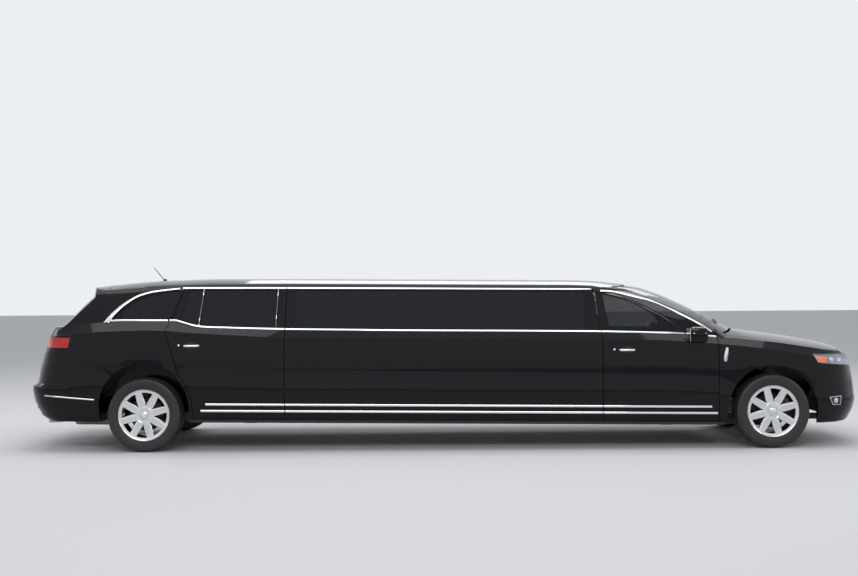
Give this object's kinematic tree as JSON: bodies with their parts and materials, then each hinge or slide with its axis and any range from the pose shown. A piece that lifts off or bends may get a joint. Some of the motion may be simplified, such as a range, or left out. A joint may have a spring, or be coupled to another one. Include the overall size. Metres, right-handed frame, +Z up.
{
  "type": "stretch limousine",
  "caption": "Long black passenger car with a stretched middle, four side doors, bench lounge and bar, and lids at both ends.",
  "frame": {"origin": "on the ground under the middle of the bounding box", "axes": "+X forward along the car, +Y to the car's left, +Z up"},
  "size_m": [8.575, 2.24, 1.8697],
  "materials": {
    "gloss_black": "gloss",
    "satin_black": "satin",
    "dark_glass": "tinted",
    "clear_lamp": "clear lens",
    "red_lamp": "gloss",
    "chrome": "polished",
    "tyre_rubber": "matte",
    "cast_iron": "rough",
    "cast_aluminium": "cast",
    "dull_steel": "dull",
    "black_plastic": "matte",
    "black_leather": "satin",
    "dark_wood": "lacquered"
  },
  "bodies": {
    "body": {"antenna": "black_plastic", "bar_cabinet": "dark_wood", "dashboard": "black_plastic", "engine_block": "cast_aluminium", "exhaust": "dull_steel", "fender_left": "gloss_black", "fender_right": "gloss_black", "floor_pan": "satin_black", "front_bumper": "gloss_black", "front_seat_left": "black_leather", "front_seat_right": "black_leather", "front_subframe": "cast_iron", "fuel_tank": "black_plastic", "grille": "chrome", "headlamp_left": "clear_lamp", "headlamp_right": "clear_lamp", "lounge_seat": "black_leather", "partition": "black_leather", "quarter_glass_left": "dark_glass", "quarter_glass_right": "dark_glass", "quarter_panel_left": "gloss_black", "quarter_panel_right": "gloss_black", "rear_axle": "cast_iron", "rear_bumper": "gloss_black", "roof": "gloss_black", "side_glass_left": "dark_glass", "side_glass_right": "dark_glass", "side_panel_left": "gloss_black", "side_panel_right": "gloss_black", "steering_wheel": "black_leather", "tail_lamp_left": "red_lamp", "tail_lamp_right": "red_lamp", "windshield": "dark_glass", "windshield_frame": "gloss_black"},
    "hood": {"hood": "gloss_black"},
    "liftgate": {"liftgate": "gloss_black", "liftgate_glass": "dark_glass", "liftgate_lamp_bar": "red_lamp"},
    "fuel_flap": {"fuel_flap": "gloss_black"},
    "front_door_right": {"front_door_right": "gloss_black", "front_door_glass_right": "dark_glass", "mirror_right": "gloss_black"},
    "rear_door_right": {"rear_door_right": "gloss_black", "rear_door_glass_right": "dark_glass"},
    "knuckle_right": {"knuckle_right": "cast_iron"},
    "front_wheel_right": {"front_wheel_right": "chrome", "front_tyre_right": "tyre_rubber"},
    "rear_wheel_right": {"rear_wheel_right": "chrome", "rear_tyre_right": "tyre_rubber"},
    "front_door_left": {"front_door_left": "gloss_black", "front_door_glass_left": "dark_glass", "mirror_left": "gloss_black"},
    "rear_door_left": {"rear_door_left": "gloss_black", "rear_door_glass_left": "dark_glass"},
    "knuckle_left": {"knuckle_left": "cast_iron"},
    "front_wheel_left": {"front_wheel_left": "chrome", "front_tyre_left": "tyre_rubber"},
    "rear_wheel_left": {"rear_wheel_left": "chrome", "rear_tyre_left": "tyre_rubber"}
  },
  "joints": [
    {"name": "front_door_hinge_right", "type": "hinge", "parent": "body", "child": "front_door_right", "pos_m": [2.73531, -0.961, 0.5243], "axis": [0, 0, 1], "range_deg": [0, 65]},
    {"name": "rear_door_hinge_right", "type": "hinge", "parent": "body", "child": "rear_door_right", "pos_m": [-1.6095, -0.965, 0.58657], "axis": [0, 0, 1], "range_deg": [0, 65]},
    {"name": "steer_right", "type": "hinge", "parent": "body", "child": "knuckle_right", "pos_m": [3.2775, -0.76, 0.3705], "axis": [0, 0, 1], "range_deg": [-35, 35]},
    {"name": "front_hub_right", "type": "hinge", "parent": "knuckle_right", "child": "front_wheel_right", "pos_m": [3.2775, -0.8275, 0.3705], "axis": [0, 1, 0], "continuous": true},
    {"name": "rear_hub_right", "type": "hinge", "parent": "body", "child": "rear_wheel_right", "pos_m": [-3.0195, -0.8275, 0.3705], "axis": [0, 1, 0], "continuous": true},
    {"name": "front_door_hinge_left", "type": "hinge", "parent": "body", "child": "front_door_left", "pos_m": [2.73531, 0.961, 0.5243], "axis": [0, 0, -1], "range_deg": [0, 65]},
    {"name": "rear_door_hinge_left", "type": "hinge", "parent": "body", "child": "rear_door_left", "pos_m": [-1.6095, 0.965, 0.58657], "axis": [0, 0, -1], "range_deg": [0, 65]},
    {"name": "steer_left", "type": "hinge", "parent": "body", "child": "knuckle_left", "pos_m": [3.2775, 0.76, 0.3705], "axis": [0, 0, 1], "range_deg": [-35, 35]},
    {"name": "front_hub_left", "type": "hinge", "parent": "knuckle_left", "child": "front_wheel_left", "pos_m": [3.2775, 0.8275, 0.3705], "axis": [0, 1, 0], "continuous": true},
    {"name": "rear_hub_left", "type": "hinge", "parent": "body", "child": "rear_wheel_left", "pos_m": [-3.0195, 0.8275, 0.3705], "axis": [0, 1, 0], "continuous": true},
    {"name": "hood_hinge", "type": "hinge", "parent": "body", "child": "hood", "pos_m": [2.87528, 0, 1.13837], "axis": [0, -1, 0], "range_deg": [0, 55]},
    {"name": "liftgate_hinge", "type": "hinge", "parent": "body", "child": "liftgate", "pos_m": [-3.45696, 0, 1.68477], "axis": [0, 1, 0], "range_deg": [0, 75]},
    {"name": "fuel_flap_hinge", "type": "hinge", "parent": "body", "child": "fuel_flap", "pos_m": [-3.09934, 0.93815, 1.01908], "axis": [0, 0, -1], "range_deg": [0, 100]}
  ],
  "couplings": [
    {"joint": "steer_left", "follows": "steer_right", "ratio": 1}
  ]
}
